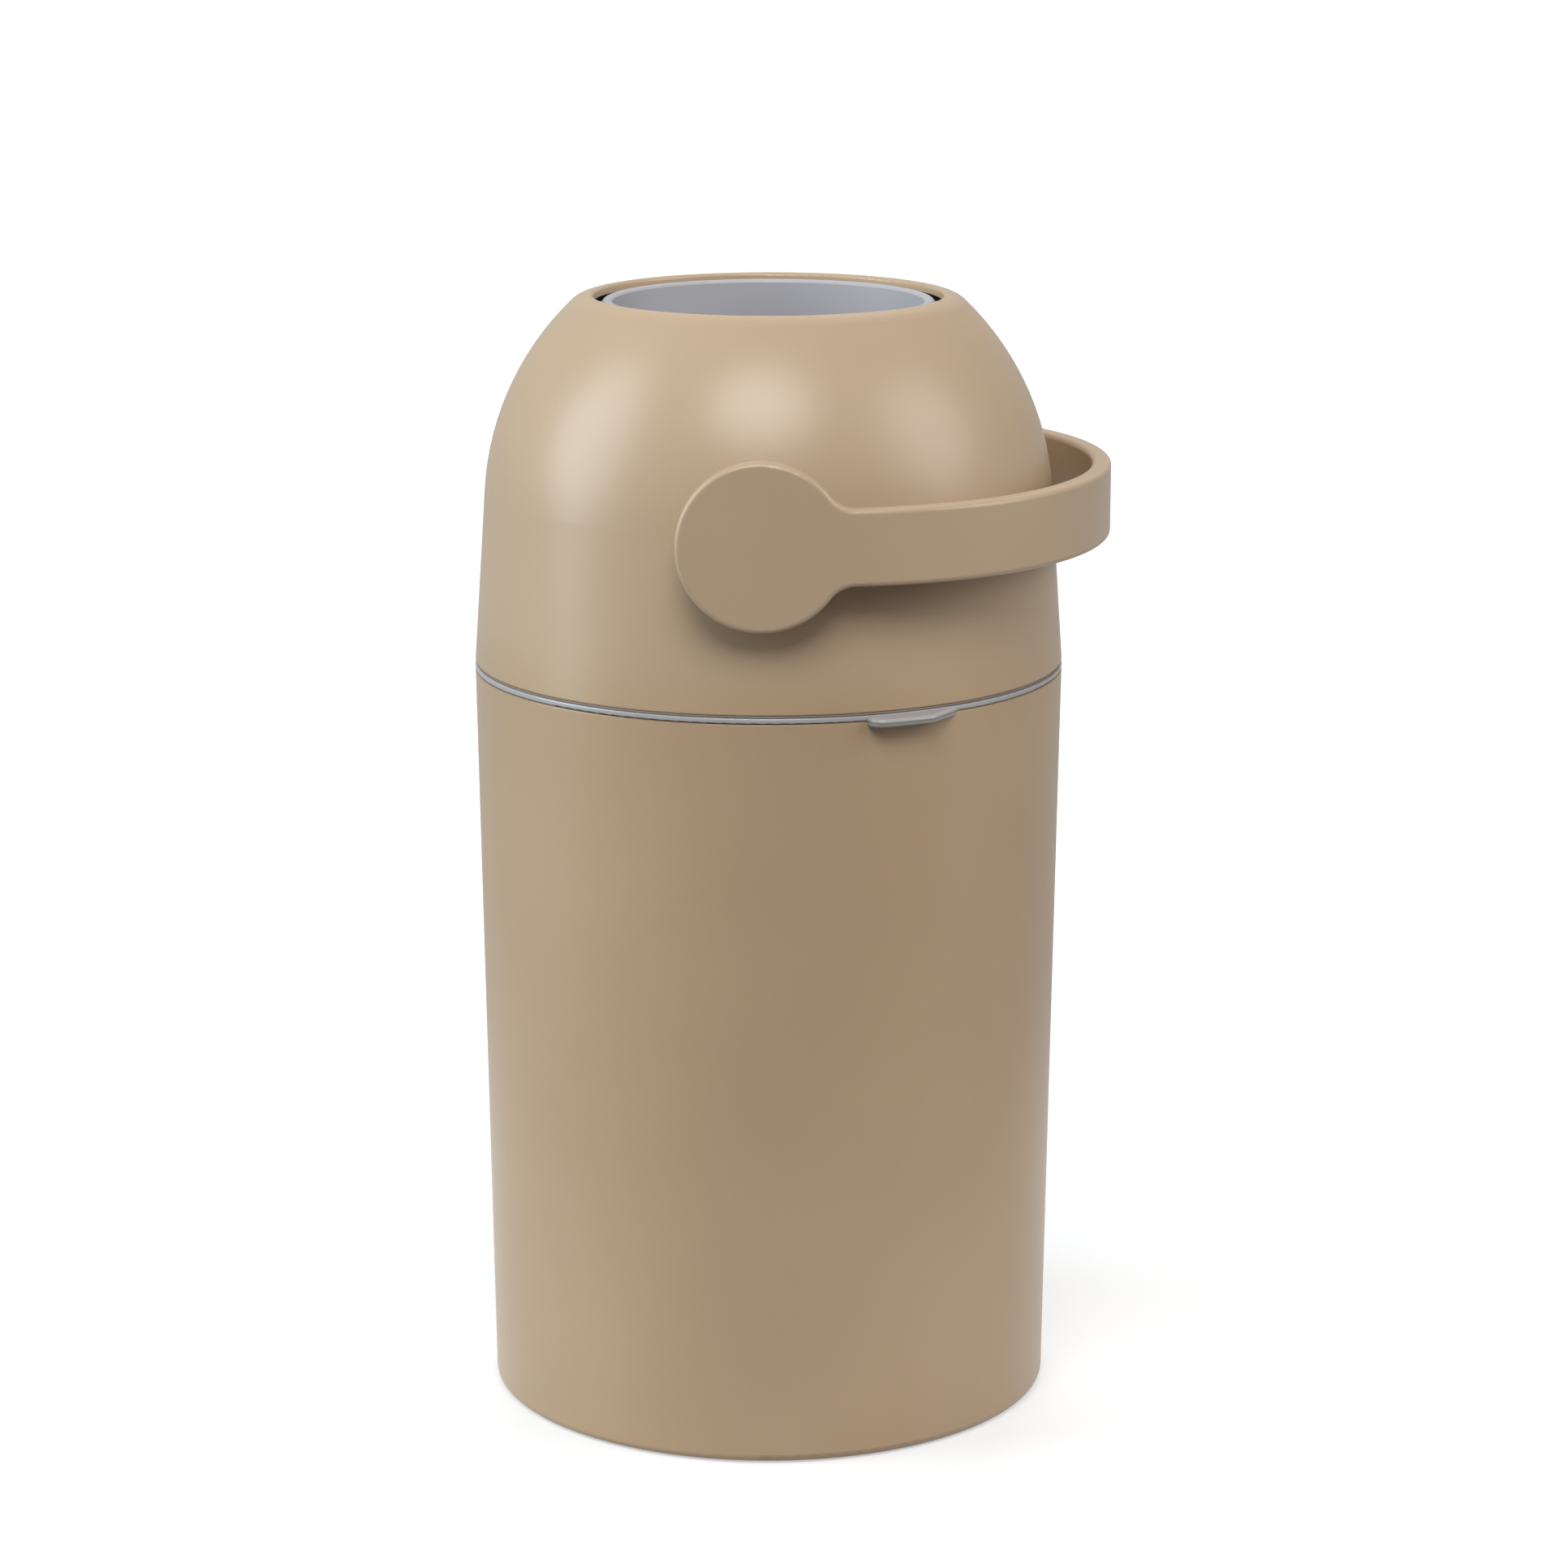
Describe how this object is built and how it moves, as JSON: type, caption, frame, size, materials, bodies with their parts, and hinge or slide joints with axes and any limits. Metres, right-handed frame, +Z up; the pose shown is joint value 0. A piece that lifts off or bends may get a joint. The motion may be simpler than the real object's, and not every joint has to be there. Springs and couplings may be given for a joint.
{
  "type": "diaper pail",
  "caption": "Round tan plastic diaper pail with a domed head, a grey chute in its open top, a bag ring with a lift tab, and a hoop handle that flips the chute over.",
  "frame": {"origin": "centre of the base, on the ground", "axes": "+Z up along the bin's axis, +X towards the handle's bow, the handle's pivot along Y"},
  "size_m": [0.2912, 0.295, 0.5133],
  "materials": {
    "tan_plastic": "satin moulded plastic",
    "grey_plastic": "glossy moulded plastic",
    "bearing_plastic": "plain bearing plastic",
    "rubber": "soft black rubber",
    "steel": "zinc-plated steel"
  },
  "bodies": {
    "bin": {"bin_body": "tan_plastic", "foot_ring": "rubber"},
    "ring": {"bag_ring": "grey_plastic"},
    "head": {"dome_shell": "tan_plastic", "head_gasket": "rubber", "lower_seal": "rubber", "upper_seal": "rubber", "baffle_plate": "grey_plastic", "baffle_screws": "steel", "bush_front": "bearing_plastic", "bush_rear": "bearing_plastic"},
    "rotor": {"chute_tube": "grey_plastic", "chute_lip_top": "grey_plastic", "chute_lip_bottom": "grey_plastic", "rotor_shell_upper": "grey_plastic", "rotor_shell_lower": "grey_plastic", "axle_front": "bearing_plastic", "axle_rear": "bearing_plastic", "hub_screws": "steel", "handle": "tan_plastic"},
    "piston": {"piston_cup": "grey_plastic", "piston_cover": "grey_plastic", "piston_weight": "steel", "piston_wiper": "rubber"}
  },
  "joints": [
    {"name": "ring_lift", "type": "slide", "parent": "bin", "child": "ring", "axis": [0, 0, 1], "range_m": [0, 0.08]},
    {"name": "head_lift", "type": "slide", "parent": "ring", "child": "head", "axis": [0, 0, 1], "range_m": [0, 0.2]},
    {"name": "handle_flip", "type": "hinge", "parent": "head", "child": "rotor", "pos_m": [0, 0, 0.422], "axis": [0, -1, 0], "range_deg": [0, 180]},
    {"name": "piston_slide", "type": "slide", "parent": "rotor", "child": "piston", "axis": [0, 0, 1], "range_m": [0, 0.1098]}
  ]
}
